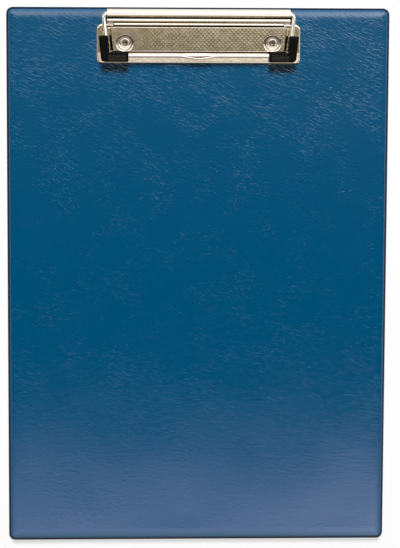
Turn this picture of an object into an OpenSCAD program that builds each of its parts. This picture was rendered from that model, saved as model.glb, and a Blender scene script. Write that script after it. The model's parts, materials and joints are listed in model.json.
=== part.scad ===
// Clipboard: a foil-covered board with a low-profile wire clip riveted to its top edge.
// X runs across the board, Y towards the clip and Z out of the writing face.
// The origin is the middle of the back face. Places along the board are given by "v",
// the distance in from its top edge.

/* [Board] */
// Width of the board over its welded rim
board_w = 230; // [200:1:320]
// Length of the board over its welded rim
board_l = 325; // [260:1:450]
// Thickness of the greyboard core
core_t = 2.5; // [1.8:0.1:4]
// Thickness of the PVC foil on each face
foil_t = 0.4; // [0.25:0.05:0.6]
// Width of the flat weld outside the shoulder
weld_w = 1.1; // [0.8:0.1:3]
// Thickness the front foil is pressed to in the weld
weld_t = 0.35; // [0.2:0.05:0.5]
// Corner radius of the outline
corner_r = 4; // [3.5:0.5:12]
// Radius of the front foil's shoulder over the core's edge
shoulder_r = 1.0; // [0.8:0.1:1.4]

/* [Clip plate] */
// Width of the pressed base
base_w = 122; // [100:1:150]
// Depth of the pressed base, from its rear edge to its front lip
base_d = 23.5; // [21:0.5:40]
// Distance of the clip's rear edge from the board's top edge
clip_inset = 1.0; // [0.5:0.5:20]
// Thickness of the nickel-plated sheet
sheet_t = 0.6; // [0.4:0.05:0.7]
// Height of the base's flat border over the board
border_h = 1.0; // [0.9:0.1:1.6]
// Height of the raised panel over the board
panel_h = 1.9; // [1.6:0.1:2.6]
// Corner radius of the base in plan
base_corner_r = 3; // [2:0.5:6]
// Radius of the base's turned-down edge
base_edge_r = 0.9; // [0.6:0.1:0.9]
// Half width of the raised panel at its rear edge
panel_rear_half = 54.2; // [40:0.2:54.4]
// Half width of the raised panel at its front edge
panel_front_half = 52.3; // [38:0.2:52.4]
// Depth of the raised panel
panel_d = 15.6; // [15:0.2:16]
// Corner radius of the raised panel in plan
panel_corner_r = 1.5; // [1.4:0.1:4]
// Radius of the raised panel's edge
panel_edge_r = 0.7; // [0.3:0.1:0.7]
// Radius of the stop bead that the paper's edge meets
bead_r = 1.2; // [0.9:0.1:1.3]
// Length of the stop bead over its round ends
bead_l = 103; // [60:1:105]

/* [Rolled spring] */
// Width of the roll and its flared leaf
roll_w = 109.6; // [80:0.2:109.8]
// Inside radius of the roll
roll_r = 2.05; // [1.95:0.05:2.4]
// How far above the front of the roll its round part ends, in degrees
roll_end = 20; // [10:1:30]
// Radius of the valley between roll and leaf, to the middle of the sheet
valley_r = 0.5; // [0.45:0.05:0.7]
// Radius of the leaf's ridge, to the middle of the sheet
ridge_r = 0.9; // [0.7:0.05:1.1]
// How far below level the sheet runs from valley to ridge, in degrees
ridge_slope = 35; // [25:1:45]
// Length of the leaf's straight front edge
leaf_drop = 0.4; // [0.2:0.1:0.6]

/* [Wire bail] */
// Diameter of the wire
wire_d = 2.6; // [2:0.1:2.8]
// Widest half spacing of the bail's arms, to the middle of the wire
arm_half = 56.8; // [50:0.1:62]
// How much each arm leans in towards the front, in degrees
arm_lean = 5; // [0:0.5:8]
// Distance of the front bar from the pivot axis
bail_reach = 24.85; // [24:0.05:34]
// Rise of the closed bail from pivot to front bar
bail_rise = 0.6; // [0.3:0.1:1.5]
// Bend radius at the pivot end of each arm
rear_bend_r = 2.6; // [2:0.1:3]
// Bend radius at the front end of each arm
front_bend_r = 4; // [3:0.5:8]
// Offset of the cranked middle of the pivot bar
crank = 0.55; // [0.2:0.05:0.6]
// Length of each journal, from the arm's bend to the crank
journal_l = 14; // [8:1:30]
// Gap between the wire's two ends inside the roll
end_gap = 3; // [1:0.5:20]
// Length of the flattened thumb zone on the front bar
thumb_l = 25; // [10:1:40]
// Width of the wire in the middle of the thumb zone
thumb_w = 3.8; // [2.8:0.1:4.4]

/* [Corner grips] */
// Length of each grip's front leg, from the outer corner
grip_front_l = 17.2; // [12:0.2:30]
// Length of each grip's side leg, from the outer corner
grip_side_l = 15.8; // [12:0.2:17]
// Distance of the grip's outer faces from the wire's middle
grip_out = 4.0; // [2.6:0.1:4.4]
// Distance of the grip's inner faces from the wire's middle
grip_in = 1.7; // [1.5:0.1:1.8]
// Rubber above the front bar
grip_over = 0.8; // [0.5:0.1:1.5]
// Radius of the grip's edges
grip_edge_r = 0.7; // [0.3:0.1:1]
// Number of ribs on each front leg
rib_count = 5; // [0:1:6]
// Spacing of the ribs
rib_pitch = 0.75; // [0.6:0.05:1]

/* [Rivets] */
// Distance between the two rivets
rivet_spacing = 88.4; // [60:0.2:92]
// Distance of the rivets from the base's rear edge
rivet_back = 11.4; // [10.5:0.2:12]
// Outside diameter of the shank
shank_d = 3.8; // [3:0.1:4.2]
// Diameter of the flat head at the back
head_d = 8.4; // [7:0.1:12]
// Thickness of the head
head_t = 0.8; // [0.5:0.1:1.2]
// Diameter of the bore at the clinched end
bore_d = 2.7; // [2:0.1:3]
// Depth of the bore
bore_l = 3.2; // [2:0.1:4]
// Diameter over the clinched collar
collar_d = 6.2; // [5.4:0.1:6.8]
// Radius of the collar's roll
collar_r = 0.6; // [0.4:0.05:0.7]
// Diameter of the flat floor of each dish in the plate
dish_floor_d = 7.0; // [6.8:0.1:8]
// Diameter of each dish at the panel's top
dish_d = 9.4; // [9:0.1:9.6]

/* [Fits] */
// Clearance of the foil over the core
cover_gap = 0.02; // [0:0.01:0.1]
// Clearance of the shank in its holes
shank_gap = 0.02; // [0.01:0.01:0.2]
// Clearance of the rubber on the wire
grip_gap = 0.02; // [0.01:0.01:0.05]
// Clearance under the closed grips
grip_lift = 0.25; // [0.2:0.05:1]
// Rivet head's depth below the back face
head_sink = 0.05; // [0.02:0.01:0.2]

/* [Hidden] */
$fn = 64;
eps = 0.01;

// Board, from the back face up
core_z = foil_t;
face_z = foil_t + core_t + foil_t;
core_inset = weld_w + foil_t;
core_r = corner_r - core_inset;
core_edge_r = shoulder_r - foil_t;

// Clip, with heights over the board's face
wire_r = wire_d / 2;
mid_r = roll_r + sheet_t / 2;
axis_v = clip_inset + roll_r + sheet_t;
axis_y = board_l / 2 - axis_v;
axis_z = face_z + sheet_t + roll_r;
valley_y = (mid_r + valley_r) * cos(180 - roll_end);
valley_z = (mid_r + valley_r) * sin(180 - roll_end);
ridge_y = valley_y - (valley_r + ridge_r) * cos(ridge_slope);
ridge_z = valley_z - (valley_r + ridge_r) * sin(ridge_slope);
leaf_front = -ridge_y + ridge_r + sheet_t / 2;
bead_y = axis_y - leaf_front - bead_r;
base_rear_y = bead_y + 0.1;
base_mid_y = base_rear_y - base_d / 2;
panel_rear_y = bead_y - bead_r - 0.1;
panel_front_y = panel_rear_y - panel_d;
rivet_y = base_rear_y - rivet_back;

// Bail, in its own plane: x across and u forward from the pivot axis
bail_tilt = asin(bail_rise / bail_reach);
journal_x = arm_half - rear_bend_r;
arm_start = [
    journal_x + rear_bend_r * cos(arm_lean),
    rear_bend_r * (1 + sin(arm_lean))
];
arm_l = (bail_reach - arm_start[1] - front_bend_r * (1 - sin(arm_lean))) / cos(arm_lean);
arm_end = arm_start + arm_l * [-sin(arm_lean), cos(arm_lean)];
front_bend = arm_end - front_bend_r * [cos(arm_lean), sin(arm_lean)];
crank_run = 4;
wire_sides = 16;

// Corner grips
grip_floor = face_z + border_h + grip_lift;
grip_top = axis_z + bail_rise + wire_r + grip_over;
front_out_u = bail_reach + grip_out;
front_in_u = bail_reach - grip_in;
side_rear_u = front_out_u - grip_side_l;

// ---------- shared shapes ----------

module rounded_rect(w, l, r) {
    for (sx = [-1, 1], sy = [-1, 1]) translate([sx * (w / 2 - r), sy * (l / 2 - r)]) circle(r = r);
    square([w - 2 * r, l], center = true);
    square([w, l - 2 * r], center = true);
}

// Disc of radius r with its top edge rounded by edge
module rounded_puck(r, h, edge) {
    cylinder(r = r, h = h - edge);
    cylinder(r = r - edge, h = h);
    translate([0, 0, h - edge]) rotate_extrude() translate([r - edge, 0]) circle(r = edge);
}

// Pressed block: a convex outline grown by r, its top edge rounded by edge
module pressed_block(points, h, r, edge) {
    hull() for (p = points) translate([p[0], p[1], 0]) rounded_puck(r, h, edge, $fn = 32);
}

// Pressed block on a rectangle of w by l with plan corners of radius r
module pressed_slab(w, l, h, r, edge) {
    x = w / 2 - r;
    y = l / 2 - r;
    pressed_block([[-x, -y], [x, -y], [x, y], [-x, y]], h, r, edge);
}

// Points along an arc, from angle a to angle b
function arc(centre, r, a, b, steps) =
    [for (i = [0 : steps]) let (t = a + (b - a) * i / steps) centre + r * [cos(t), sin(t)]];

module at_rivets() {
    for (s = [-1, 1]) translate([s * rivet_spacing / 2, rivet_y, 0]) children();
}

// ---------- board ----------

module rivet_hole(h) {
    translate([0, 0, -eps]) cylinder(d = shank_d + 2 * shank_gap, h = h);
}

// Depth and slope of the dimple that each rivet head presses into the back
dimple_z = head_sink + head_t;
dimple_r = head_d / 2 + 1.4;

module dimple_form(lift, spread) {
    translate([0, 0, -eps]) cylinder(r1 = dimple_r + spread, r2 = head_d / 2 + 0.1 + spread,
        h = dimple_z + lift + eps);
}

// The core's form, grown by gap for the hollow in the front cover
module core_form(gap) {
    translate([0, 0, core_z - (gap > 0 ? eps : 0)])
        pressed_slab(board_w - 2 * core_inset + 2 * gap, board_l - 2 * core_inset + 2 * gap,
            core_t + (gap > 0 ? eps : 0), core_r + gap, core_edge_r);
}

module board_core() {
    color("tan") difference() {
        core_form(0);
        at_rivets() rivet_hole(face_z);
        at_rivets() dimple_form(foil_t, 0.35);
    }
}

module front_cover() {
    color("steelblue") difference() {
        translate([0, 0, foil_t]) union() {
            linear_extrude(weld_t) rounded_rect(board_w, board_l, corner_r);
            pressed_slab(board_w - 2 * weld_w, board_l - 2 * weld_w, core_t + foil_t,
                corner_r - weld_w, shoulder_r);
        }
        core_form(cover_gap);
        at_rivets() rivet_hole(face_z + eps);
    }
}

module back_cover() {
    color("steelblue") difference() {
        union() {
            linear_extrude(foil_t) rounded_rect(board_w, board_l, corner_r);
            at_rivets() translate([0, 0, eps]) dimple_form(foil_t - eps, 0.3);
        }
        at_rivets() dimple_form(0, 0);
        at_rivets() rivet_hole(face_z);
    }
}

// ---------- clip plate ----------

// The base, with its turned-down edge
module base_form() {
    translate([0, base_mid_y, face_z])
        pressed_slab(base_w, base_d, border_h, base_corner_r, base_edge_r);
}

module base_hollow() {
    t = sheet_t;
    translate([0, base_mid_y, face_z - eps]) linear_extrude(border_h - t + eps)
        rounded_rect(base_w - 2 * t, base_d - 2 * t, base_corner_r - t);
}

module panel_form() {
    r = panel_corner_r;
    translate([0, 0, face_z])
        pressed_block([
            [-panel_rear_half + r, panel_rear_y - r], [panel_rear_half - r, panel_rear_y - r],
            [panel_front_half - r, panel_front_y + r], [-panel_front_half + r, panel_front_y + r]
        ], panel_h, r, panel_edge_r);
}

module panel_hollow() {
    t = sheet_t;
    translate([0, 0, face_z - eps]) linear_extrude(panel_h - t + eps) polygon([
        [-panel_rear_half + t, panel_rear_y - t], [panel_rear_half - t, panel_rear_y - t],
        [panel_front_half - t, panel_front_y + t], [-panel_front_half + t, panel_front_y + t]
    ]);
}

// Round-topped ridge across the sheet, with its foot on the board
module bead_form(r) {
    half = bead_l / 2 - bead_r;
    foot = panel_h - bead_r;
    translate([-half, bead_y, face_z + foot]) {
        rotate([0, 90, 0]) cylinder(r = r, h = 2 * half);
        for (x = [0, 2 * half]) translate([x, 0, 0]) {
            sphere(r = r);
            translate([0, 0, -foot]) cylinder(r = r, h = foot);
        }
        translate([0, -r, -foot]) cube([2 * half, 2 * r, foot]);
    }
}

// Section of one dish: its floor lies on the board and its wall climbs to the panel
module dish() {
    floor_r = dish_floor_d / 2;
    rim_r = dish_d / 2;
    hole_r = shank_d / 2 + shank_gap;
    translate([0, 0, face_z]) rotate_extrude() polygon([
        [hole_r, 0], [floor_r + 0.2, 0], [rim_r, panel_h - sheet_t - 0.1],
        [rim_r, panel_h], [rim_r - 0.15, panel_h], [floor_r, sheet_t], [hole_r, sheet_t]
    ]);
}

// Section of the spring in (y, z) about the pivot axis: the roll, the valley and the leaf's ridge
spring_section = concat(
    arc([0, 0], mid_r + sheet_t / 2, -90, 180 - roll_end, 40),
    arc([valley_y, valley_z], valley_r - sheet_t / 2, 360 - roll_end, 180 + ridge_slope, 10),
    arc([ridge_y, ridge_z], ridge_r + sheet_t / 2, ridge_slope, 180, 16),
    [[ridge_y - ridge_r - sheet_t / 2, ridge_z - leaf_drop], [ridge_y - ridge_r + sheet_t / 2, ridge_z - leaf_drop]],
    arc([ridge_y, ridge_z], ridge_r - sheet_t / 2, 180, ridge_slope, 12),
    arc([valley_y, valley_z], valley_r + sheet_t / 2, 180 + ridge_slope, 360 - roll_end, 12),
    arc([0, 0], mid_r - sheet_t / 2, 180 - roll_end, -90, 40),
    [[base_rear_y - axis_y - sheet_t / 2, -roll_r], [base_rear_y - axis_y - sheet_t / 2, -roll_r - sheet_t]]
);

module rolled_spring() {
    translate([-roll_w / 2, axis_y, axis_z]) rotate([90, 0, 90]) linear_extrude(roll_w) polygon(spring_section);
}

module clip_plate() {
    color("darkkhaki") {
        difference() {
            union() {
                base_form();
                panel_form();
                bead_form(bead_r);
                rolled_spring();
            }
            base_hollow();
            panel_hollow();
            translate([0, 0, -eps]) bead_form(bead_r - sheet_t);
            translate([-base_w / 2, base_mid_y - base_d / 2, face_z - bead_r]) cube([base_w, base_d + 2, bead_r]);
            at_rivets() translate([0, 0, face_z - eps]) cylinder(d = dish_d, h = panel_h + 1);
        }
        at_rivets() dish();
    }
}

// ---------- wire bail ----------

// Lifts a shape drawn in the bail's plane (x, u) to where the closed bail lies
module bail_frame() {
    translate([0, axis_y, axis_z]) rotate([-bail_tilt, 0, 0]) mirror([0, 1, 0]) children();
}

// Right half of the wire's middle line, from its end inside the roll to the front bar's middle
inner_x = journal_x - journal_l;
crank_x = inner_x - crank_run;
half_path = concat(
    [[end_gap / 2, -crank]],
    [[crank_x, -crank], [crank_x + 0.8, -crank * 0.94], [inner_x - 0.8, -crank * 0.06], [inner_x, 0]],
    arc([journal_x, rear_bend_r], rear_bend_r, -90, arm_lean, 9),
    arc(front_bend, front_bend_r, arm_lean, 90, 9),
    [for (i = [0 : 8]) [thumb_l / 2 * (1 - i / 8), bail_reach]]
);
wire_path = concat(
    [for (i = [0 : len(half_path) - 1]) half_path[i]],
    [for (i = [len(half_path) - 2 : -1 : 0]) [-half_path[i][0], half_path[i][1]]]
);

grip_path = concat([arm_start], arc(front_bend, front_bend_r, arm_lean, 90, 9), [[thumb_l / 2, bail_reach]]);

// Flattening along the front bar, from 0 on round wire to 1 in the middle of the thumb zone
function flat(p) = p[1] < bail_reach - eps || abs(p[0]) > thumb_l / 2 ? 0
    : pow(cos(180 * p[0] / thumb_l), 2);

// Unit direction of travel at point i of a path
function heading(path, i) = let (
    a = path[max(i - 1, 0)], m = path[i], b = path[min(i + 1, len(path) - 1)],
    p = m == a ? [0, 0] : (m - a) / norm(m - a),
    q = m == b ? [0, 0] : (b - m) / norm(b - m)
) (p + q) / norm(p + q);

// One ring of the wire: an ellipse that widens towards the front as it flattens
function wire_ring(path, i, r) = let (
    d = heading(path, i), side = [d[1], -d[0]],
    wide = r + flat(path[i]) * (thumb_w / 2 - wire_r),
    high = r * r / wide,
    mid = path[i] + flat(path[i]) * [0, (thumb_w / 2 - wire_r) * 0.8]
) [for (k = [0 : wire_sides - 1]) let (t = 360 * k / wire_sides)
    [mid[0] + wide * cos(t) * side[0], mid[1] + wide * cos(t) * side[1], high * sin(t)]];

// The wire's form along a path, as one tube of radius r
module wire_form(path, r) {
    rings = len(path);
    n = wire_sides;
    polyhedron(
        points = [for (i = [0 : rings - 1]) each wire_ring(path, i, r)],
        faces = concat(
            [[for (k = [n - 1 : -1 : 0]) k]],
            [for (i = [0 : rings - 2], k = [0 : n - 1]) each [
                [i * n + k, (i + 1) * n + (k + 1) % n, (i + 1) * n + k],
                [i * n + k, i * n + (k + 1) % n, (i + 1) * n + (k + 1) % n]
            ]],
            [[for (k = [0 : n - 1]) (rings - 1) * n + k]]
        )
    );
}

module bail_wire() {
    color("silver") bail_frame() {
        wire_form(wire_path, wire_r - 0.01);
        for (x = [inner_x, -journal_x]) translate([x, 0, 0]) rotate([0, 90, 0])
            cylinder(r = wire_r, h = journal_l);
    }
}

// ---------- corner grips ----------

// x of the arm's middle line, u forward of the pivot
function arm_x(u) = arm_start[0] - (u - arm_start[1]) * tan(arm_lean);

// Round-edged block over a convex outline between the grips' floor and top
module grip_block(points) {
    hull() for (p = points) {
        translate([p[0], p[1], grip_floor + 0.2]) cylinder(r1 = grip_edge_r - 0.2, r2 = grip_edge_r, h = 0.2);
        translate([p[0], p[1], grip_floor]) cylinder(r = grip_edge_r - 0.2, h = 0.2);
        translate([p[0], p[1], grip_top - grip_edge_r]) sphere(r = grip_edge_r);
    }
}

module right_sleeve() {
    e = grip_edge_r;
    tip = front_bend[0] + front_bend_r + grip_out - grip_front_l;
    y_rear = axis_y - side_rear_u - e;
    y_in = axis_y - front_in_u - e;
    y_out = axis_y - front_out_u + e;
    difference() {
        union() {
            grip_block([
                [arm_x(side_rear_u) - grip_in + e, y_rear], [arm_x(side_rear_u) + grip_out - e, y_rear],
                [arm_x(front_out_u) + grip_out - e, y_out], [arm_x(front_out_u) - grip_in + e, y_out]
            ], $fn = 24);
            grip_block([
                [tip + e, y_in], [arm_x(front_in_u) + e, y_in],
                [arm_x(front_out_u) + grip_out - e, y_out], [tip + e, y_out]
            ], $fn = 24);
            for (i = [0 : rib_count - 1])
                translate([tip + 1.6, y_out + e + (i - 0.5) * rib_pitch, grip_top - 0.1])
                    rotate([0, 90, 0]) cylinder(r = 0.28, h = grip_front_l - 6, $fn = 20);
        }
        bail_frame() wire_form(grip_path, wire_r - 0.01 + grip_gap);
        translate([tip - eps, axis_y - bail_reach, axis_z + bail_rise])
            rotate([0, 90, 0]) cylinder(r1 = wire_r + 0.45, r2 = wire_r, h = 1.2);
    }
}

module right_grip() {
    color("dimgray") right_sleeve();
}

module left_grip() {
    color("dimgray") mirror([1, 0, 0]) right_sleeve();
}

// ---------- rivets ----------

// Semi-tubular rivet: flat head at the back, shank through the board, collar rolled over in the dish
module rivet() {
    seat_z = face_z + sheet_t;
    ring_r = collar_d / 2 - collar_r;
    flare_l = (shank_d - bore_d) * 3 / 11; // reaches less deep in a thinner shank
    difference() {
        union() {
            translate([0, 0, head_sink]) cylinder(d1 = head_d - 0.8, d2 = head_d, h = 0.3);
            translate([0, 0, head_sink + 0.3]) cylinder(d = head_d, h = head_t - 0.3);
            translate([0, 0, head_sink]) cylinder(d = shank_d, h = seat_z - head_sink);
            translate([0, 0, seat_z]) {
                cylinder(r = ring_r, h = collar_r);
                rotate_extrude() translate([ring_r, 0]) intersection() {
                    circle(r = collar_r);
                    translate([-collar_r, 0]) square([2 * collar_r, collar_r]);
                }
            }
        }
        translate([0, 0, seat_z + collar_r - bore_l]) cylinder(d = bore_d, h = bore_l + eps);
        translate([0, 0, seat_z - flare_l])
            cylinder(r1 = bore_d / 2, r2 = ring_r + eps, h = collar_r + flare_l + eps);
    }
}

module left_rivet() {
    color("darkgray") translate([-rivet_spacing / 2, rivet_y, 0]) rivet();
}

module right_rivet() {
    color("darkgray") translate([rivet_spacing / 2, rivet_y, 0]) rivet();
}

board_core();
front_cover();
back_cover();
clip_plate();
bail_wire();
left_grip();
right_grip();
left_rivet();
right_rivet();
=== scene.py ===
"""Looks of a foil-covered clipboard with a low-profile wire clip.

Lengths are in millimetres until a mesh is made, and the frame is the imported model's: the origin is
the middle of the board's back, +Y runs towards the clip and +Z out of the writing face.
"""
import json
import math

import bmesh
import bpy
import numpy as np
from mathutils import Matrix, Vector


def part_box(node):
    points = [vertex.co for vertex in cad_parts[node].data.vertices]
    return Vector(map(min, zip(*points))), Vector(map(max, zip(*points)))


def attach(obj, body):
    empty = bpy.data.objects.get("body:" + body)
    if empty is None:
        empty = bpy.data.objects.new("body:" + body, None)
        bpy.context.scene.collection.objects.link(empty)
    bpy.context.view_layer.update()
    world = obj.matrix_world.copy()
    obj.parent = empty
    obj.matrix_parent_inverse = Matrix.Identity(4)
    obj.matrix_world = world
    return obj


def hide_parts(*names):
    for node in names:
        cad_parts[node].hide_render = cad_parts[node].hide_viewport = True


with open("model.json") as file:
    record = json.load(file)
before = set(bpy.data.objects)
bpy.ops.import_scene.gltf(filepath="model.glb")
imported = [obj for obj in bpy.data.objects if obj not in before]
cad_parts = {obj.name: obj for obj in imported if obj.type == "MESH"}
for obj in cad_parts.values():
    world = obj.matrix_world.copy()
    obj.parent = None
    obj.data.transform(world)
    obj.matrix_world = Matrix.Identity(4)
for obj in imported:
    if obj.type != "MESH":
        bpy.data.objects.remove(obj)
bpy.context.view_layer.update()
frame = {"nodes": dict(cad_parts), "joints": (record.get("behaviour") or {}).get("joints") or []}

MM = 0.001


def box_mm(name):
    """Lowest and highest corner of a CAD node, in millimetres."""
    low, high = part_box(name)
    return np.array(low) / MM, np.array(high) / MM


# ---------- camera: the photograph's viewpoint, above the clip end of the board ----------

PHOTO_H = 548
FOCAL_PX = 2153.9
SENSOR = 36.0
CAMERA_PLACE = (-0.0543, 0.1522, 1.3)
CAMERA_TURN = (-6.607, -2.433, 0.25)

camera_data = bpy.data.cameras.new("photo_camera")
camera_data.lens = FOCAL_PX * SENSOR / PHOTO_H
camera_data.sensor_width = SENSOR
camera = bpy.data.objects.new("photo_camera", camera_data)
camera.location = CAMERA_PLACE
camera.rotation_euler = [math.radians(a) for a in CAMERA_TURN]
bpy.context.scene.collection.objects.link(camera)
bpy.context.scene.camera = camera

# ---------- sizes ----------

BOARD_LOW, BOARD_HIGH = box_mm("front_cover")
HALF_W, HALF_L = BOARD_HIGH[0], BOARD_HIGH[1]
RIM_Z, FACE_Z = BOARD_LOW[2], BOARD_HIGH[2]
BOARD_CORNER_R = 4.0
FOIL_T = 0.35
SAG = 0.24

CLIP_LOW, CLIP_HIGH = box_mm("clip_plate")
SHEET_T = 0.6
BASE_HALF = CLIP_HIGH[0]
BASE_D = 23.5
BASE_MID_Y = CLIP_LOW[1] + BASE_D / 2
BASE_REAR_Y = CLIP_LOW[1] + BASE_D
BASE_CORNER_R = 3.0
BASE_EDGE_R = 0.9
BORDER_H = 1.0
PANEL_H = 1.9
PANEL_FRONT_HALF = 52.3
PANEL_REAR_HALF = 54.2
PANEL_D = 15.6
PANEL_CORNER_R = 1.6
PANEL_RAMP = 1.3
LIP_RISE = 0.025
BEAD_R = 1.2
BEAD_HALF = 51.5
BEAD_Y = BASE_REAR_Y - 0.1
PANEL_REAR_Y = BEAD_Y - BEAD_R - 0.1
PANEL_FRONT_Y = PANEL_REAR_Y - PANEL_D

EMBOSS_PITCH = 2.48
EMBOSS_DEPTH = 0.015

RIVET_X = 44.2
RIVET_Y = (box_mm("right_rivet")[0][1] + box_mm("right_rivet")[1][1]) / 2
DISH_FLOOR_R = 3.4
DISH_RIM_R = 5.0
SHADE_CRESCENT_SHIFT = 1.5
HOLE_R = 1.75
HOLE_SLACK = 0.15
SHANK_R = 1.9
HEAD_R = 4.2

HINGE = np.array(frame["joints"][0]["pos_m"]) / MM
ROLL_HALF = 54.8
ROLL_R = 2.05
ROLL_END = 20
VALLEY_R = 0.5
RIDGE_R = 0.9
RIDGE_SLOPE = 35
LEAF_DROP = 0.4

WIRE_R = 1.3
ARM_HALF = 56.8
ARM_LEAN = 5
BAIL_REACH = 24.85
BAIL_RISE = 0.6
REAR_BEND_R = 2.6
FRONT_BEND_R = 4.0
CRANK = 0.55
JOURNAL_L = 14.0
CRANK_RUN = 4.0
END_GAP = 3.0
THUMB_L = 25.0
THUMB_W = 3.8

GRIP_LOW, GRIP_HIGH = box_mm("right_grip")
GRIP_OUT = 4.0
GRIP_IN = 1.7
GRIP_TOP = GRIP_HIGH[2] - 0.18
GRIP_EDGE_R = 0.8
GRIP_CORNER_R = 2.6
RIB_PITCH = 0.85
RIB_COUNT = 5
RIB_RISE = 0.17
RIB_GROOVE = 0.3


# ---------- meshes ----------

def linear(code):
    """sRGB hex code to linear red, green and blue."""
    srgb = np.array([int(code[i:i + 2], 16) for i in (1, 3, 5)]) / 255
    low, high = srgb / 12.92, ((srgb + 0.055) / 1.055) ** 2.4
    return tuple(np.where(srgb <= 0.04045, low, high)) + (1.0,)


def smooth(low, high, value):
    """Smooth step: 0 below low, 1 above high, 3t^2 - 2t^3 between them."""
    t = np.clip((value - low) / (high - low), 0, 1)
    return t * t * (3 - 2 * t)


def make_piece(name, grids, closed=True, holes=()):
    """One mesh from grids of points in mm. Neighbours in rows and columns share a quad, points that
    coincide are merged, and quads whose middle lies within a hole's radius of its (x, y) are left out."""
    points, quads, start = [], [], 0
    for grid in grids:
        rows, columns = grid.shape[:2]
        index = start + np.arange(rows * columns).reshape(rows, columns)
        corners = (index[:-1, :-1], index[:-1, 1:], index[1:, 1:], index[1:, :-1])
        quads.append(np.stack(corners, axis=-1).reshape(-1, 4))
        points.append(grid.reshape(-1, 3))
        start += rows * columns
    points = np.concatenate(points)
    quads = np.concatenate(quads)
    for x, y, radius in holes:
        middle = points[quads].mean(axis=1)
        quads = quads[np.hypot(middle[:, 0] - x, middle[:, 1] - y) > radius]
    mesh = bpy.data.meshes.new(name)
    mesh.from_pydata((points * MM).tolist(), [], quads.tolist())
    work = bmesh.new()
    work.from_mesh(mesh)
    bmesh.ops.remove_doubles(work, verts=work.verts, dist=1e-7)
    loose = [v for v in work.verts if not v.link_faces]
    bmesh.ops.delete(work, geom=loose, context="VERTS")
    if closed:
        bmesh.ops.recalc_face_normals(work, faces=work.faces)
    work.to_mesh(mesh)
    work.free()
    mesh.shade_smooth()
    piece = bpy.data.objects.new(name, mesh)
    bpy.context.scene.collection.objects.link(piece)
    return piece


def thicken(piece, thickness, offset, bevel):
    """Gives a sheet its thickness in mm, rounds its cut edges, and applies both."""
    wall = piece.modifiers.new("wall", "SOLIDIFY")
    wall.thickness = thickness * MM
    wall.offset = offset
    edge = piece.modifiers.new("edge", "BEVEL")
    edge.width = bevel * MM
    edge.segments = 2
    edge.limit_method = "ANGLE"
    edge.angle_limit = math.radians(50)
    evaluated = piece.evaluated_get(bpy.context.evaluated_depsgraph_get())
    mesh = bpy.data.meshes.new_from_object(evaluated)
    piece.modifiers.clear()
    piece.data = mesh
    mesh.set_sharp_from_angle(angle=math.radians(50))


def finish_piece(piece, body, material, stands_for):
    """Rides the piece on its body, gives it its material and hides the CAD node it stands for."""
    piece.data.materials.clear()
    piece.data.materials.append(material)
    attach(piece, body)
    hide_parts(stands_for)


def rounded_plate(half_x, half_y, corner, zone, border, inner_x, inner_y):
    """Grid of a plate with rounded corners, centred on the origin: (x, y, height) of each point.

    border is (inset, height) from the outline inwards. Grid lines run parallel to the sides. Within
    zone of a corner they bend round it: a point a fraction t of the way from the zone's edge to the
    diagonal goes to the same fraction of a path of one straight and one arc of radius corner - inset.
    """
    inset, height = np.array(border).T
    count = len(inset)
    ring = np.arange(count)

    def axis(half, inner):
        places = np.concatenate([inset - half, inner, (half - inset)[::-1]])
        rings = np.concatenate([ring, np.full(len(inner), count - 1), ring[::-1]])
        return places, rings

    x, ring_x = axis(half_x, inner_x)
    y, ring_y = axis(half_y, inner_y)
    x, y = np.meshgrid(x, y)
    z = height[np.minimum(*np.meshgrid(ring_x, ring_y))]
    depth = np.minimum(half_x - abs(x), half_y - abs(y))
    on_x_side = half_x - abs(x) <= half_y - abs(y)
    back = np.where(on_x_side, half_y - depth - abs(y), half_x - depth - abs(x))
    reach = np.maximum(zone - depth, 1e-9)
    radius = np.clip(corner - depth, 0, None)
    straight = reach - radius
    along = np.clip(1 - back / reach, 0, 1) * (straight + radius * math.pi / 4)
    turn = np.where(radius > 0, np.clip(along - straight, 0, None) / np.maximum(radius, 1e-9), 0)
    out = straight + radius * np.cos(turn)
    side = np.minimum(along, straight) + radius * np.sin(turn)
    bends = (back < reach) & (depth < zone)
    bent_x = np.where(on_x_side, out, side) + half_x - zone
    bent_y = np.where(on_x_side, side, out) + half_y - zone
    x = np.where(bends, np.sign(x) * bent_x, x)
    y = np.where(bends, np.sign(y) * bent_y, y)
    return np.stack([x, y, z], axis=-1)


def arc(centre, radius, start, end, steps):
    """Points round a circle from one angle to another, in degrees."""
    turn = np.radians(np.linspace(start, end, steps))
    return np.array(centre) + radius * np.stack([np.cos(turn), np.sin(turn)], axis=-1)


# ---------- the front foil ----------

def undulation(x, y):
    """Slow waviness of foil over greyboard, in mm: a sum of crossing plane waves of 31 to 97 mm."""
    waves = ((97, 20, 0.018), (71, -50, 0.014), (53, 75, 0.010), (43, -15, 0.008), (31, 38, 0.005))
    total = 0
    for length, direction, size in waves:
        turn = math.radians(direction)
        run = x * math.cos(turn) + y * math.sin(turn)
        total = total + size * np.sin(2 * math.pi * run / length + length)
    return total


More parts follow.
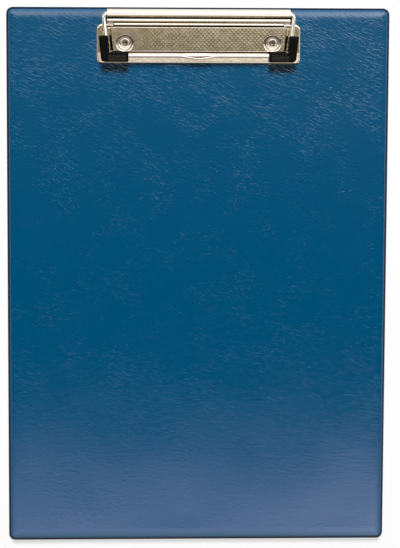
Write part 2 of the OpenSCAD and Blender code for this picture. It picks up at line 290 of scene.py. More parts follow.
def front_foil():
    """Foil over the front: a welded rim, a draped wall, a shoulder and a face that sags at its edges."""
    wall_foot, shoulder_in, shoulder_r = 1.1, 2.4, 1.0
    rim = [(0.10, 0.0), (0.02, 0.06), (0.0, 0.15), (0.06, 0.26), (0.18, 0.33), (0.4, 0.35), (0.75, 0.35)]
    foot = [(0.95, 0.37), (wall_foot, 0.48), (wall_foot + 0.10, 0.8), (wall_foot + 0.2, 1.5)]
    top = FACE_Z - RIM_Z - SAG
    shoulder = arc((shoulder_in, top - shoulder_r), shoulder_r, 170, 97, 9).tolist()
    sag = [(2.9, top + 0.06), (3.5, top + 0.12), (4.2, top + 0.17), (5.0, top + 0.21), (6.2, top + 0.235)]
    border = [*rim, *foot, *shoulder, *sag, (7.6, top + SAG)]
    fine = np.arange(8.2, 10.1, 0.6)
    zone = 10.0

    def inner(half, extra):
        middle = np.linspace(10.5 - half, half - 10.5, round((2 * half - 21) / 3))
        return np.unique(np.concatenate([fine - half, middle, half - fine, extra]))

    hole = HOLE_R + HOLE_SLACK
    rivet_lines = np.array([RIVET_X - hole, RIVET_X + hole])
    inner_x = inner(HALF_W, np.concatenate([-rivet_lines, rivet_lines]))
    inner_y = inner(HALF_L, np.array([RIVET_Y - hole, RIVET_Y + hole]))
    grid = rounded_plate(HALF_W, HALF_L, BOARD_CORNER_R, zone, border, inner_x, inner_y)
    x, y, z = np.moveaxis(grid, -1, 0)
    room = np.minimum(HALF_W - abs(x), HALF_L - abs(y))
    under_clip = smooth(118, 128, y) * smooth(70, 62, abs(x))
    grid[..., 2] = RIM_Z + z + undulation(x, y) * smooth(4, 16, room) * (1 - under_clip)
    holes = [(-RIVET_X, RIVET_Y, hole), (RIVET_X, RIVET_Y, hole)]
    piece = make_piece("front_foil", [grid], closed=False, holes=holes)
    thicken(piece, FOIL_T, -1, 0.05)
    return piece


# ---------- the clip's plate ----------

def diamonds(x, y):
    """Emboss height in mm: crests where two sets of waves at 45 degrees cross, weaker to the left."""
    across, along = (x + y) / EMBOSS_PITCH, (x - y) / EMBOSS_PITCH
    pillow = abs(np.cos(math.pi * across)) * abs(np.cos(math.pi * along))
    return EMBOSS_DEPTH * pillow * (0.2 + 0.8 * smooth(-45, -12, x) * smooth(75, 30, x))


def panel_height(x, y):
    """Height of the pressed base at (x, y): the border, the tapered panel with sloping walls, and
    the two dishes. The front border rises a little towards the lip. The panel's outline is a
    rounded box whose half width grows towards the rear."""
    half = PANEL_FRONT_HALF + (PANEL_REAR_HALF - PANEL_FRONT_HALF) * (y - PANEL_FRONT_Y) / PANEL_D
    past_x = abs(x) - half + PANEL_CORNER_R
    past_y = np.maximum(PANEL_FRONT_Y - y, y - PANEL_REAR_Y) + PANEL_CORNER_R
    outside = np.hypot(np.maximum(past_x, 0), np.maximum(past_y, 0))
    signed = outside + np.minimum(np.maximum(past_x, past_y), 0) - PANEL_CORNER_R
    end_ramp = np.where(y > (PANEL_FRONT_Y + PANEL_REAR_Y) / 2, 0.4, 0.8)
    ramp = np.where(past_x > past_y, PANEL_RAMP, end_ramp)
    height = BORDER_H + (PANEL_H - BORDER_H) * smooth(0, 1, -signed / ramp)
    height = height + LIP_RISE * np.maximum(PANEL_FRONT_Y - y, 0)
    flat = smooth(2.6, 1.0, signed)
    from_rivet = np.hypot(abs(x) - RIVET_X, y - RIVET_Y)
    wall = smooth(DISH_FLOOR_R, DISH_RIM_R, from_rivet)
    flat = flat * smooth(DISH_RIM_R, DISH_RIM_R + 0.8, from_rivet)
    inside = smooth(0, 1, -signed)
    depth = (PANEL_H - SHEET_T) * (1 - wall) * inside
    return height - depth + diamonds(x, y) * flat


def pressed_base():
    """The plate's pressed base: a rolled-down edge, a flat border, a raised panel and two dishes."""
    edge = arc((BASE_EDGE_R, BORDER_H - BASE_EDGE_R), BASE_EDGE_R, 176, 92, 10).tolist()
    border = [(0.05, 0.0), *edge, (1.05, BORDER_H)]
    zone = 4.0
    inner_x = np.arange(1.25, 2 * BASE_HALF - 1.2, 0.32) - BASE_HALF
    rows = np.arange(1.25, BASE_D - 1.2, 0.27) - BASE_D / 2
    grid = rounded_plate(BASE_HALF, BASE_D / 2, BASE_CORNER_R, zone, border, inner_x, rows)
    x, y = grid[..., 0], grid[..., 1] + BASE_MID_Y
    room = np.minimum(BASE_HALF - abs(x), BASE_D / 2 - abs(grid[..., 1]))
    rise = panel_height(x, y) - BORDER_H
    grid[..., 2] += FACE_Z + rise * smooth(0.3, 1.1, room)
    grid[..., 1] = y
    holes = [(-RIVET_X, RIVET_Y, HOLE_R), (RIVET_X, RIVET_Y, HOLE_R)]
    piece = make_piece("pressed_base", [grid], closed=False, holes=holes)
    thicken(piece, SHEET_T, -1, 0.08)
    return piece


def stop_bead():
    """The round ridge that the paper stops at: capsule-shaped rings that shrink as sin and rise as
    cos of one angle, over a short upright leg."""
    half = BEAD_HALF - BEAD_R
    rise = np.radians(np.linspace(0, 90, 12))
    foot = FACE_Z + PANEL_H - BEAD_R
    reach = np.concatenate([BEAD_R * np.sin(rise), [BEAD_R, BEAD_R]])
    level = np.concatenate([foot + BEAD_R * np.cos(rise), [foot - 0.35, FACE_Z]])
    run = np.linspace(-half, half, round(2 * half / 0.35))
    right = np.radians(np.linspace(-90, 90, 18))
    left = right + math.pi
    end = np.full(len(right), half)
    along = np.concatenate([run, end, run[::-1], -end, run[:1]])
    out_x = np.concatenate([0 * run, np.cos(right), 0 * run, np.cos(left), [0]])
    out_y = np.concatenate([0 * run - 1, np.sin(right), 0 * run + 1, np.sin(left), [-1]])
    x = along + reach[:, None] * out_x
    y = BEAD_Y + reach[:, None] * out_y
    z = level[:, None] + 0.5 * diamonds(x, y) * (1 - reach[:, None] / BEAD_R) + 0 * x
    piece = make_piece("stop_bead", [np.stack([x, y, z], axis=-1)[:, ::-1]], closed=False)
    thicken(piece, SHEET_T, -1, 0.05)
    return piece


def rolled_spring():
    """The sheet's rear run, rolled over the pivot bar and turned down into a valley and a ridged
    leaf: one line of straights and arcs in (y, z) about the pivot, drawn out along x."""
    mid_r = ROLL_R + SHEET_T / 2
    turn = math.radians(180 - ROLL_END)
    valley = (mid_r + VALLEY_R) * np.array([math.cos(turn), math.sin(turn)])
    slope = math.radians(RIDGE_SLOPE)
    ridge = valley - (VALLEY_R + RIDGE_R) * np.array([math.cos(slope), math.sin(slope)])
    start = BASE_REAR_Y - HINGE[1] - 0.3
    floor = np.stack([np.linspace(start, -0.3, 12), np.full(12, -mid_r)], axis=-1)
    roll = arc((0, 0), mid_r, -90, 180 - ROLL_END, 60)
    dip = arc(valley, VALLEY_R, 360 - ROLL_END - 8, 180 + RIDGE_SLOPE, 16)
    crest = arc(ridge, RIDGE_R, RIDGE_SLOPE + 8, 180, 22)
    tail = ridge + np.array([[-RIDGE_R, -LEAF_DROP / 2], [-RIDGE_R, -LEAF_DROP]])
    line = np.concatenate([floor, roll, dip, crest, tail])
    x = np.linspace(-ROLL_HALF, ROLL_HALF, round(2 * ROLL_HALF / 0.4))
    grid = np.empty((len(line), len(x), 3))
    grid[..., 0] = x
    step = np.gradient(line, axis=0)
    normal = np.stack([step[:, 1], -step[:, 0]], axis=-1) / np.linalg.norm(step, axis=1)[:, None]
    travel = np.concatenate([[0], np.cumsum(np.linalg.norm(np.diff(line, axis=0), axis=1))])
    on_leaf = smooth(0, 3, np.arange(len(line)) - len(floor) - len(roll) + 6)
    lift = diamonds(x[None, :], travel[:, None]) * (0.3 + 1.6 * on_leaf[:, None])
    grid[..., 1] = HINGE[1] + line[:, :1] + lift * normal[:, :1]
    grid[..., 2] = HINGE[2] + line[:, 1:] + lift * normal[:, 1:]
    piece = make_piece("rolled_spring", [grid], closed=False)
    thicken(piece, SHEET_T, 0, 0.12)
    return piece


# ---------- the bail ----------

TILT = math.asin(BAIL_RISE / BAIL_REACH)
LEAN = math.radians(ARM_LEAN)
JOURNAL_X = ARM_HALF - REAR_BEND_R
INNER_X = JOURNAL_X - JOURNAL_L
CRANK_X = INNER_X - CRANK_RUN
REAR_BEND = (JOURNAL_X, REAR_BEND_R)
ARM_START = np.array([JOURNAL_X + REAR_BEND_R * math.cos(LEAN), REAR_BEND_R * (1 + math.sin(LEAN))])
ARM_L = (BAIL_REACH - ARM_START[1] - FRONT_BEND_R * (1 - math.sin(LEAN))) / math.cos(LEAN)
ARM_END = ARM_START + ARM_L * np.array([-math.sin(LEAN), math.cos(LEAN)])
FRONT_BEND = ARM_END - FRONT_BEND_R * np.array([math.cos(LEAN), math.sin(LEAN)])


def lay(across, forward, up):
    """Puts points of the bail's plane, forward of the pivot and up from the plane, where the closed
    bail lies: turned by its small rise about the pivot."""
    y = HINGE[1] - forward * math.cos(TILT) + up * math.sin(TILT)
    z = HINGE[2] + forward * math.sin(TILT) + up * math.cos(TILT)
    return np.stack([across + 0 * y, y, z], axis=-1)


def bail_wire():
    """Wire bent round the bail: rings across a line of straights and arcs. In the thumb zone each
    ring is a superellipse that widens forward as its height falls, by cos squared of the place."""
    slide = np.linspace(0, 1, 20)
    step = CRANK * (1 - smooth(0, 1, slide))
    bar = np.linspace(END_GAP / 2, CRANK_X, 24)
    journal = np.linspace(INNER_X, JOURNAL_X, 8)[1:-1]
    side = ARM_START + np.linspace(0, 1, 10)[1:-1, None] * (ARM_END - ARM_START)
    front = np.linspace(FRONT_BEND[0], 0, 70)[1:]
    half = np.concatenate([
        np.stack([bar, 0 * bar - CRANK], axis=-1),
        np.stack([CRANK_X + CRANK_RUN * slide, -step], axis=-1)[1:],
        np.stack([journal, 0 * journal], axis=-1),
        arc(REAR_BEND, REAR_BEND_R, -90, ARM_LEAN, 18),
        side,
        arc(FRONT_BEND, FRONT_BEND_R, ARM_LEAN, 90, 18),
        np.stack([front, 0 * front + BAIL_REACH], axis=-1),
    ])
    path = np.concatenate([half, half[-2::-1] * [-1, 1]])
    heading = np.gradient(path, axis=0)
    heading /= np.linalg.norm(heading, axis=1)[:, None]
    outward = np.stack([heading[:, 1], -heading[:, 0]], axis=-1)
    on_bar = (path[:, 1] > BAIL_REACH - 0.01) & (abs(path[:, 0]) < THUMB_L / 2)
    flat = np.where(on_bar, np.cos(math.pi * path[:, 0] / THUMB_L) ** 2, 0)
    wide = WIRE_R + flat * (THUMB_W / 2 - WIRE_R)
    high = WIRE_R ** 2 / wide
    path[:, 1] += flat * (THUMB_W / 2 - WIRE_R) * 0.8
    dome = np.radians(np.linspace(0, 90, 6))
    cap_at = [path[0] - heading[0] * 0.7 * math.cos(a) for a in dome[:-1]]
    cap_size = [math.sin(a) for a in dome[:-1]]
    path = np.concatenate([cap_at, path, [p * [-1, 1] for p in cap_at[::-1]]])
    size = np.concatenate([cap_size, np.ones(len(flat)), cap_size[::-1]])
    caps = len(cap_at)
    outward = np.concatenate([outward[:1]] * caps + [outward] + [outward[-1:]] * caps)
    wide, high, flat = (np.pad(v, caps, mode="edge") for v in (wide, high, flat))
    turn = np.linspace(0, 2 * math.pi, 41)
    power = (1 - 0.45 * flat)[:, None]
    across = size[:, None] * wide[:, None] * np.sign(np.cos(turn)) * abs(np.cos(turn)) ** power
    up = size[:, None] * high[:, None] * np.sign(np.sin(turn)) * abs(np.sin(turn)) ** power
    spot = path[:, None, :] + across[..., None] * outward[:, None, :]
    return make_piece("bail_wire_form", [lay(spot[..., 0], spot[..., 1], up)])


def grip(name, side):
    """Moulded corner grip: a rounded section carried round an L between an inner line with a sharp
    corner and an outer line with a round one. Its two ends draw in by 1 - sin as they advance by
    1 - cos of one angle. Cosine ribs lie on its front leg, and a small cone takes the wire."""
    tip = GRIP_LOW[0]
    front_out, front_in = BAIL_REACH + GRIP_OUT, BAIL_REACH - GRIP_IN
    rear = HINGE[1] - GRIP_HIGH[1]
    edge = GRIP_EDGE_R

    def arm_x(forward):
        return ARM_START[0] - (forward - ARM_START[1]) * math.tan(LEAN)

    corner = arc((arm_x(front_out) + GRIP_OUT - GRIP_CORNER_R, front_out - GRIP_CORNER_R), GRIP_CORNER_R,
                 ARM_LEAN, 90, 14)
    quarter = np.radians(np.linspace(0, 90, 7))
    advance, draw = edge * (1 - np.cos(quarter)), edge * (1 - np.sin(quarter))
    side_l, leg_l = front_in - rear, corner[-1, 0] - tip
    run = np.concatenate([advance, np.linspace(edge, side_l, 16)[1:]])[:, None] / side_l
    leg = np.concatenate([np.linspace(0, leg_l - edge, 48)[:-1], leg_l - advance[::-1]])[:, None] / leg_l
    rear_in, rear_out = np.array([arm_x(rear) - GRIP_IN, rear]), np.array([arm_x(rear) + GRIP_OUT, rear])
    bend_in = np.array([arm_x(front_in) - GRIP_IN, front_in])
    tip_in, tip_out = np.array([tip, front_in]), np.array([tip, front_out])
    turn_in = np.repeat(bend_in[None], len(corner) - 2, axis=0)
    inner = np.concatenate([rear_in + run * (bend_in - rear_in), turn_in,
                            bend_in + leg * (tip_in - bend_in)])
    outer = np.concatenate([rear_out + run * (corner[0] - rear_out), corner[1:-1],
                            corner[-1] + leg * (tip_out - corner[-1])])
    width = np.linalg.norm(outer - inner, axis=1)[:, None]
    inset = np.concatenate([draw, np.zeros(len(width) - 2 * len(draw)), draw[::-1]])[:, None]

    low, high = inset, width - inset
    base, roof = GRIP_LOW[2] + inset * 0.5, GRIP_TOP - inset
    middle, waist = (low + high) / 2, (base + roof) / 2
    top = np.linspace(0, 1, 60)[1:-1]
    across = np.concatenate([
        middle, low + 0.3, low, low, low + edge - edge * np.cos(quarter),
        low + edge + top * (high - low - 2 * edge), high - edge + edge * np.sin(quarter),
        high, high, high - 0.3, middle], axis=1)
    up = np.concatenate([
        base, base, base + 0.3, waist, roof - edge + edge * np.sin(quarter), roof + 0 * top,
        roof - edge + edge * np.cos(quarter), waist, base + 0.3, base, base], axis=1)
    spot = inner[:, None] + (outer - inner)[:, None] * (across / width)[..., None]
    ribbed = smooth(tip + 1.3, tip + 1.7, spot[..., 0]) * smooth(tip + 12.5, tip + 11.8, spot[..., 0])
    phase = (width - across - 0.7) / RIB_PITCH
    band = smooth(-0.6, -0.4, phase) * smooth(RIB_COUNT - 0.4, RIB_COUNT - 0.6, phase)
    wave = np.cos(2 * math.pi * phase)
    up = up + np.where(wave > 0, RIB_RISE, RIB_GROOVE) * wave * band * ribbed * (up > GRIP_TOP - 0.01)
    laid = lay(spot[..., 0], spot[..., 1], 0)
    points = np.stack([spot[..., 0], laid[..., 1], up], axis=-1)

    wire_at = lay(np.array(tip), np.array(BAIL_REACH), np.array(0.0))
    end = points[-1] - wire_at
    angle = np.arctan2(end[:, 2], end[:, 1])
    circle = np.stack([0 * angle, np.cos(angle), np.sin(angle)], axis=-1)
    inward = np.array([1.3, 0, 0])
    mouth, throat = wire_at + (WIRE_R + 0.3) * circle, wire_at + inward + (WIRE_R - 0.1) * circle
    rear_core = np.broadcast_to(points[0].mean(axis=0), end.shape)
    core = np.broadcast_to(wire_at + inward, end.shape)
    points = np.concatenate([rear_core[None], points, [mouth, throat, core]])
    points[..., 0] *= side
    return make_piece(name, [points])


def rivet(name, x):
    """Semi-tubular rivet turned about its axis: (radius, height) from the bore's floor over the
    rolled collar, down the shank and round the pressed head to the middle of the back."""
    seat = FACE_Z + SHEET_T
    collar = arc((2.45, seat + 0.05), 0.62, 150, -10, 14)
    line = np.concatenate([
        [(0, seat - 2.0), (0.6, seat - 2.05), (1.25, seat - 1.9), (1.35, seat - 1.6), (1.4, seat - 0.5),
         (1.5, seat), (1.7, seat + 0.25)],
        collar,
        [(2.9, seat - 0.02), (SHANK_R, seat - 0.02), (SHANK_R, 0.86), (4.1, 0.84), (HEAD_R, 0.72),
         (HEAD_R, 0.35), (4.1, 0.18), (3.8, 0.07), (2.6, 0.05), (0, 0.05)],
    ])
    turn = np.linspace(0, 2 * math.pi, 65)
    radius, z = line[:, :1], line[:, 1:]
    points = np.stack([x + radius * np.cos(turn), RIVET_Y + radius * np.sin(turn), z + 0 * turn], axis=-1)
    piece = make_piece(name, [points])
    piece.data.set_sharp_from_angle(angle=math.radians(50))
    return piece


# ---------- materials ----------

def add(tree, kind, inputs=(), **settings):
    """Adds one node. inputs maps each socket to a value or to the output that feeds it."""
    made = tree.nodes.new(kind)
    for key, value in settings.items():
        setattr(made, key, value)
    for socket, value in dict(inputs).items():
        if isinstance(value, bpy.types.NodeSocket):
            tree.links.new(value, made.inputs[socket])
        else:
            made.inputs[socket].default_value = value
    return made


def new_material(name):
    """An empty material, its node tree and the Object coordinates that its patterns read."""
    material = bpy.data.materials.new(name)
    material.use_nodes = True
    tree = material.node_tree
    tree.nodes.clear()
    place = add(tree, "ShaderNodeTexCoord").outputs["Object"]
    return material, tree, place


def per_mm(size):
    """Texture scale, on coordinates in metres, of a pattern whose features are size mm across."""
    return 1 / (size * MM)


def calendered_pvc(name, rim):
    """Plasticised PVC foil, calendered with a fine leather grain: deep blue and semi-gloss. Pebbles
    and slanting creases, drawn just over 1 mm across and so coarser than real ones, break up its
    gloss. They are pressed flatter towards the near end. The welded rim is dull, and painted darker
    as shade along the board's edge."""
    material, tree, place = new_material(name)
    warp = add(tree, "ShaderNodeTexNoise", {"Vector": place, "Scale": per_mm(3.0), "Detail": 2.0})
    bent = add(tree, "ShaderNodeVectorMath", {0: warp.outputs["Color"], 3: 1.6 * MM}, operation="SCALE")
    moved = add(tree, "ShaderNodeVectorMath", {0: place, 1: bent.outputs[0]}, operation="ADD").outputs[0]
    cells = add(tree, "ShaderNodeTexVoronoi", {"Vector": moved, "Scale": per_mm(1.25)},
                feature="DISTANCE_TO_EDGE")
    pebble = add(tree, "ShaderNodeMapRange", {0: cells.outputs[0], 2: 0.22},
                 interpolation_type="SMOOTHSTEP")
    slant = add(tree, "ShaderNodeMapping", {"Vector": moved, "Rotation": (0, 0, math.radians(-25)),
                                            "Scale": (3.5, 1.0, 1.0)}, vector_type="TEXTURE")
    streak = add(tree, "ShaderNodeTexNoise", {"Vector": slant.outputs[0], "Scale": per_mm(1.1),
                                              "Detail": 2.0})
    crease = add(tree, "ShaderNodeMapRange", {0: streak.outputs[0], 1: 0.42, 2: 0.7},
                 interpolation_type="SMOOTHSTEP")
    patch = add(tree, "ShaderNodeTexNoise", {"Vector": place, "Scale": per_mm(19), "Detail": 2.0})
    amount = add(tree, "ShaderNodeMapRange", {0: patch.outputs[0], 1: 0.36, 2: 0.64, 3: 0.35, 4: 1.2})
    along = add(tree, "ShaderNodeSeparateXYZ", {0: place}).outputs["Y"]
    kept = add(tree, "ShaderNodeMapRange", {0: along, 1: -90 * MM, 2: 100 * MM, 3: 0.3, 4: 1.15})
    deep = add(tree, "ShaderNodeMath", {0: amount.outputs[0], 1: kept.outputs[0]}, operation="MULTIPLY")
    creased = add(tree, "ShaderNodeMath", {0: crease.outputs[0], 1: deep.outputs[0]},
                  operation="MULTIPLY")
    height = add(tree, "ShaderNodeMath", {0: pebble.outputs[0], 1: 0.25, 2: creased.outputs[0]},
                 operation="MULTIPLY_ADD")
    grain = add(tree, "ShaderNodeBump", {"Height": height.outputs[0], "Strength": 1.0,
                                        "Distance": 0.02 * MM})
    tone = add(tree, "ShaderNodeTexNoise", {"Vector": place, "Scale": per_mm(24), "Detail": 3.0})
    blue = add(tree, "ShaderNodeMix", {0: tone.outputs[0], 6: linear("#00507C"), 7: linear("#005376")},
               data_type="RGBA")
    colour, rough = blue.outputs[2], 0.05
    if rim:
        # painted shade: the welded rim, up to 1.1 mm and fading out by 1.7 mm, is coloured dark navy to
        # stand in for the shade along the board's edge; its dullness is roughness
        level = add(tree, "ShaderNodeSeparateXYZ", {0: place}).outputs["Z"]
        dull_shaded_rim = add(tree, "ShaderNodeMapRange", {0: level, 1: 1.1 * MM, 2: 1.7 * MM, 3: 1.0, 4: 0.0})
        edge = add(tree, "ShaderNodeMix", {0: dull_shaded_rim.outputs[0], 6: colour, 7: linear("#061C33")},
                   data_type="RGBA")
        dulled = add(tree, "ShaderNodeMapRange", {0: dull_shaded_rim.outputs[0], 3: rough, 4: 0.7})
        colour, rough = edge.outputs[2], dulled.outputs[0]
    foil = add(tree, "ShaderNodeBsdfPrincipled", {"Base Color": colour, "Roughness": rough, "IOR": 1.53,
                                                  "Normal": grain.outputs[0]})
    add(tree, "ShaderNodeOutputMaterial", {"Surface": foil.outputs[0]})
    return material


def nickel_plate(name, code, roughness, wave, bore=False, grooves=()):
    """Bright nickel plate over pressed steel: a warm mirror with a faint haze and slow ripples,
    drawn coarse enough to show. Down a rivet's bore, along the grooves, given as (y, half width) in
    mm, and in a crescent at the rear of each dish, dark brown is painted on as shade, so they read
    as dark lines. The crescent is what a circle about the rivet has beyond a second one shifted forward."""
    material, tree, place = new_material(name)
    haze = add(tree, "ShaderNodeTexNoise", {"Vector": place, "Scale": per_mm(6), "Detail": 4.0})
    rough = add(tree, "ShaderNodeMapRange", {0: haze.outputs[0], 3: roughness * 0.7, 4: roughness * 1.3})
    ripple = add(tree, "ShaderNodeTexNoise", {"Vector": place, "Scale": per_mm(2.5), "Detail": 1.0})
    skin = add(tree, "ShaderNodeBump", {"Height": ripple.outputs[0], "Strength": 1.0,
                                       "Distance": wave * MM})
    tint = add(tree, "ShaderNodeMix", {0: haze.outputs[0], 6: linear(code), 7: linear("#EFE8D8")},
               data_type="RGBA")
    if bore:
        # painted shade: the bore, from 1.0 to 3.6 mm up, is coloured dark brown to stand in for the shade
        # down the hole
        level = add(tree, "ShaderNodeSeparateXYZ", {0: place}).outputs["Z"]
        deep = add(tree, "ShaderNodeMath", {0: level, 1: 2.3 * MM, 2: 1.3 * MM}, operation="COMPARE")
        tint = add(tree, "ShaderNodeMix", {0: deep.outputs[0], 6: tint.outputs[2], 7: linear("#6A5F48")},
                   data_type="RGBA")
    if grooves:
        # painted shade: a dark brown line along each given groove, within the roll's width, standing in
        # for the shade that gathers there
        side, along, _ = add(tree, "ShaderNodeSeparateXYZ", {0: place}).outputs
        side = add(tree, "ShaderNodeMath", {0: side}, operation="ABSOLUTE").outputs[0]
        inside = add(tree, "ShaderNodeMath", {0: side, 1: ROLL_HALF * MM}, operation="LESS_THAN")
        for middle, half in grooves:
            off = add(tree, "ShaderNodeMath", {0: along, 1: middle * MM}, operation="SUBTRACT")
            off = add(tree, "ShaderNodeMath", {0: off.outputs[0]}, operation="ABSOLUTE")
            line = add(tree, "ShaderNodeMapRange", {0: off.outputs[0], 1: half / 2 * MM, 2: half * MM,
                                                    3: inside.outputs[0], 4: 0.0})
            tint = add(tree, "ShaderNodeMix", {0: line.outputs[0], 6: tint.outputs[2],
                                               7: linear("#1E170D")}, data_type="RGBA")
        # painted shade: a dark brown crescent on the rear wall of each dish, standing in for the shade
        # there
        spot = add(tree, "ShaderNodeCombineXYZ", {0: side, 1: along}).outputs[0]
        from_rivet, from_ahead = (
            add(tree, "ShaderNodeVectorMath", {0: spot, 1: (RIVET_X * MM, (RIVET_Y - ahead) * MM, 0)},
                operation="DISTANCE").outputs["Value"] for ahead in (0, SHADE_CRESCENT_SHIFT))
        rim = add(tree, "ShaderNodeMapRange", {0: from_rivet, 1: 4.8 * MM, 2: 5.2 * MM, 3: 0.9, 4: 0.0})
        crescent = add(tree, "ShaderNodeMapRange", {0: from_ahead, 1: 3.9 * MM, 2: 5.3 * MM, 3: 0.0,
                                                    4: rim.outputs[0]})
        tint = add(tree, "ShaderNodeMix", {0: crescent.outputs[0], 6: tint.outputs[2],
                                           7: linear("#3A301E")}, data_type="RGBA")
    plate = add(tree, "ShaderNodeBsdfPrincipled", {"Base Color": tint.outputs[2], "Metallic": 1.0,
                                                   "Roughness": rough.outputs[0],
                                                   "Normal": skin.outputs[0]})
    add(tree, "ShaderNodeOutputMaterial", {"Surface": plate.outputs[0]})
    return material


def moulded_rubber():
    """Black nitrile rubber, moulded: near black and satin, with a sparked skin drawn coarser than
    the real one, and a painted highlight of grey on its rib crests."""
    material, tree, place = new_material("moulded_black_rubber")
    spark = add(tree, "ShaderNodeTexNoise", {"Vector": place, "Scale": per_mm(0.5), "Detail": 3.0})
    skin = add(tree, "ShaderNodeBump", {"Height": spark.outputs[0], "Strength": 1.0,
                                        "Distance": 0.02 * MM})
    dust = add(tree, "ShaderNodeTexNoise", {"Vector": place, "Scale": per_mm(3), "Detail": 3.0})
    tone = add(tree, "ShaderNodeMix", {0: dust.outputs[0], 6: linear("#040302"), 7: linear("#0C0907")},
               data_type="RGBA")
    # painted highlight: the rib crests that stand above the top are coloured grey, standing in for their
    # sheen
    level = add(tree, "ShaderNodeSeparateXYZ", {0: place}).outputs["Z"]
    crest = add(tree, "ShaderNodeMapRange", {0: level, 1: (GRIP_TOP + 0.03) * MM,
                                             2: (GRIP_TOP + 0.13) * MM})
    tone = add(tree, "ShaderNodeMix", {0: crest.outputs[0], 6: tone.outputs[2], 7: linear("#4A463E")},
               data_type="RGBA")
    rubber = add(tree, "ShaderNodeBsdfPrincipled", {"Base Color": tone.outputs[2], "Roughness": 0.25,
                                                    "IOR": 1.5, "Specular IOR Level": 0.07,
                                                    "Normal": skin.outputs[0]})
    add(tree, "ShaderNodeOutputMaterial", {"Surface": rubber.outputs[0]})
    return material


def pressed_greyboard():
    """Pressed greyboard: dull grey-brown fibres, seen only at cut edges."""
    material, tree, place = new_material("pressed_greyboard")
    fibre = add(tree, "ShaderNodeTexNoise", {"Vector": place, "Scale": per_mm(0.8), "Detail": 6.0})
    tone = add(tree, "ShaderNodeMix", {0: fibre.outputs[0], 6: linear("#8F8777"), 7: linear("#B9B2A2")},
               data_type="RGBA")
    skin = add(tree, "ShaderNodeBump", {"Height": fibre.outputs[0], "Strength": 1.0,
                                        "Distance": 0.05 * MM})
    board = add(tree, "ShaderNodeBsdfPrincipled", {"Base Color": tone.outputs[2], "Roughness": 0.9,
                                                   "Normal": skin.outputs[0]})
    add(tree, "ShaderNodeOutputMaterial", {"Surface": board.outputs[0]})
    return material


# ---------- assembly ----------

front_pvc = calendered_pvc("calendered_pvc_front", rim=True)
back_pvc = calendered_pvc("calendered_pvc_back", rim=False)
valley_y = HINGE[1] - (ROLL_R + SHEET_T / 2 + VALLEY_R) * math.cos(math.radians(ROLL_END))
# grooves painted with shade: the valley before the roll, the panel's rear foot and its front foot
plate_nickel = nickel_plate("nickel_plated_sheet", "#E6DBC0", 0.12, 0.01, grooves=(
    (valley_y, 0.8), (PANEL_REAR_Y - 0.1, 0.75), (PANEL_FRONT_Y + 0.1, 0.55)))
wire_nickel = nickel_plate("nickel_plated_wire", "#EAE4D6", 0.1, 0.006)
rivet_nickel = nickel_plate("nickel_plated_rivet", "#B9AC8C", 0.2, 0.01, bore=True)
black_rubber = moulded_rubber()
greyboard = pressed_greyboard()

finish_piece(front_foil(), "board", front_pvc, "front_cover")
finish_piece(pressed_base(), "board", plate_nickel, "clip_plate")
finish_piece(stop_bead(), "board", plate_nickel, "clip_plate")
finish_piece(rolled_spring(), "board", plate_nickel, "clip_plate")
finish_piece(bail_wire(), "bail", wire_nickel, "bail_wire")
for name, side in (("left", -1), ("right", 1)):
    finish_piece(grip(name + "_grip_form", side), "bail", black_rubber, name + "_grip")
    finish_piece(rivet(name + "_rivet_form", side * RIVET_X), "board", rivet_nickel,
                 name + "_rivet")
for node, material in (("back_cover", back_pvc), ("board_core", greyboard)):
    shown = frame["nodes"][node]
    shown.data.materials.clear()
    shown.data.materials.append(material)

# ---------- studio ----------

# One broad low window behind the clip's end lights the object and casts its soft shadows. It isn't
# mirrored: what shines in the metal and the foil is the room below.
WINDOW_PLACE = Vector((0, 5.0, 3.6))
window = bpy.data.lights.new("low_window", "AREA")
window.shape = "RECTANGLE"
window.size, window.size_y = 2.5, 1.5
window.energy = 540
window_lamp = bpy.data.objects.new("low_window", window)
window_lamp.location = WINDOW_PLACE
window_lamp.rotation_euler = (-WINDOW_PLACE).to_track_quat("-Z", "Y").to_euler()
window_lamp.visible_camera = False
window_lamp.visible_glossy = False
bpy.context.scene.collection.objects.link(window_lamp)

FLOOR_HALF, FLOOR_Z, SWEEP_GLOW = 4.0, -0.0001, 0.62
floor_mesh = bpy.data.meshes.new("floor")
floor_mesh.from_pydata([(sx * FLOOR_HALF, sy * FLOOR_HALF, FLOOR_Z) for sx, sy in
                        ((-1, -1), (1, -1), (1, 1), (-1, 1))], [], [(0, 1, 2, 3)])
floor = bpy.data.objects.new("floor", floor_mesh)
bpy.context.scene.collection.objects.link(floor)

# White sweep: matt paint that keeps a soft shadow, brightened for the camera and for reflections
sweep, tree, _ = new_material("matt_white_sweep")
path = add(tree, "ShaderNodeLightPath")
direct = add(tree, "ShaderNodeMath", {0: path.outputs["Is Camera Ray"], 1: path.outputs["Is Glossy Ray"]},
             operation="MAXIMUM")
glow = add(tree, "ShaderNodeMath", {0: direct.outputs[0], 1: SWEEP_GLOW}, operation="MULTIPLY")
paint = add(tree, "ShaderNodeBsdfPrincipled", {"Base Color": linear("#A8A8A8"), "Roughness": 0.9,
                                               "Emission Color": (1, 1, 1, 1),
                                               "Emission Strength": glow.outputs[0]})
add(tree, "ShaderNodeOutputMaterial", {"Surface": paint.outputs[0]})
floor_mesh.materials.append(sweep)

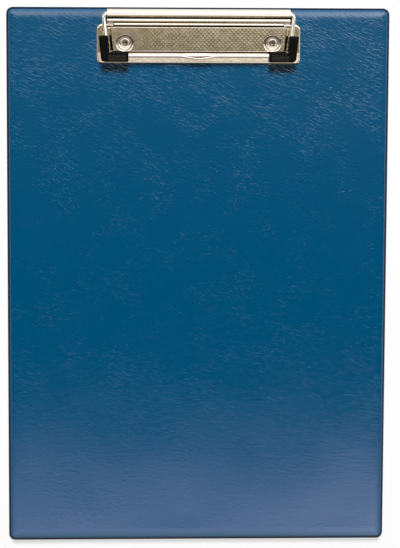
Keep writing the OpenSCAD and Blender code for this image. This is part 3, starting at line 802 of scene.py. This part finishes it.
# The room: dim plain light, and white to the camera. In reflections it is a white tent with a dark
# warm gap overhead: white towards the clip's end, a cool card just past the gap on the near side,
# then falling off to the near horizon. (how far a ray leans to +Y, its red, green and blue)
ROOM = ((-1.0, 0.12, 0.1, 0.07), (-0.93, 0.35, 0.32, 0.28), (-0.72, 0.9, 0.87, 0.82),
        (-0.45, 1.3, 1.3, 1.35), (-0.3, 1.9, 1.75, 2.3), (-0.24, 2.3, 2.05, 3.0),
        (-0.222, 1.8, 1.6, 2.4), (-0.205, 1.1, 0.95, 1.4),
        (-0.193, 0.03, 0.03, 0.05), (-0.15, 0, 0, 0), (-0.1, 0, 0, 0), (-0.04, 0.12, 0.1, 0.06),
        (0.004, 0.2, 0.16, 0.08), (0.03, 0.4, 0.35, 0.26), (0.06, 1.3, 1.25, 1.2), (0.11, 3.3, 3.3, 3.5),
        (0.19, 3.3, 3.3, 3.5), (0.34, 1.6, 1.6, 1.65), (1.0, 1.35, 1.35, 1.4))
BRIGHTEST = 3.5
world = bpy.data.worlds.new("studio")
bpy.context.scene.world = world
world.use_nodes = True
sky = world.node_tree
sky.nodes.clear()
path = add(sky, "ShaderNodeLightPath")
ray = add(sky, "ShaderNodeSeparateXYZ", {0: add(sky, "ShaderNodeTexCoord").outputs["Generated"]})
lean = add(sky, "ShaderNodeMapRange", {0: ray.outputs["Y"], 1: -1.0, 2: 1.0})
tent = add(sky, "ShaderNodeValToRGB", {0: lean.outputs[0]})
stops = tent.color_ramp.elements
for index, (place_y, *light) in enumerate(ROOM):
    stop = stops[index] if index < 2 else stops.new((place_y + 1) / 2)
    stop.position = (place_y + 1) / 2
    stop.color = [value / BRIGHTEST for value in light] + [1]
# The tent darkens towards its sides, fades there into a plain grey horizon, and is brighter on the
# right.
aside = add(sky, "ShaderNodeMath", {0: ray.outputs["X"]}, operation="ABSOLUTE")
shade = add(sky, "ShaderNodeMapRange", {0: aside.outputs[0], 1: 0.12, 2: 0.5, 3: 1.0, 4: 0.25},
            interpolation_type="SMOOTHSTEP")
sides = add(sky, "ShaderNodeMapRange", {0: aside.outputs[0], 1: 0.72, 2: 0.95},
            interpolation_type="SMOOTHSTEP")
level = add(sky, "ShaderNodeMath", {0: sides.outputs[0], 1: 0.5, 2: shade.outputs[0]},
            operation="MULTIPLY_ADD")
uneven = add(sky, "ShaderNodeMapRange", {0: ray.outputs["X"], 1: 0.07, 2: 0.12, 3: BRIGHTEST,
                                         4: 1.6 * BRIGHTEST}, interpolation_type="SMOOTHSTEP")
strength = add(sky, "ShaderNodeMath", {0: level.outputs[0], 1: uneven.outputs[0]}, operation="MULTIPLY")
colour = add(sky, "ShaderNodeMix", {0: sides.outputs[0], 6: tent.outputs[0], 7: (0.33, 0.33, 0.33, 1)},
             data_type="RGBA")
plain = add(sky, "ShaderNodeBackground", {"Strength": 0.14, "Color": (1, 1, 1, 1)})
mirrored = add(sky, "ShaderNodeBackground", {"Strength": strength.outputs[0], "Color": colour.outputs[2]})
backdrop = add(sky, "ShaderNodeBackground", {"Strength": 1.0, "Color": (1, 1, 1, 1)})
unseen = add(sky, "ShaderNodeMixShader", {0: path.outputs["Is Glossy Ray"], 1: plain.outputs[0],
                                          2: mirrored.outputs[0]})
both = add(sky, "ShaderNodeMixShader", {0: path.outputs["Is Camera Ray"], 1: unseen.outputs[0],
                                        2: backdrop.outputs[0]})
add(sky, "ShaderNodeOutputWorld", {"Surface": both.outputs[0]})

bpy.context.scene.view_settings.view_transform = "Standard"
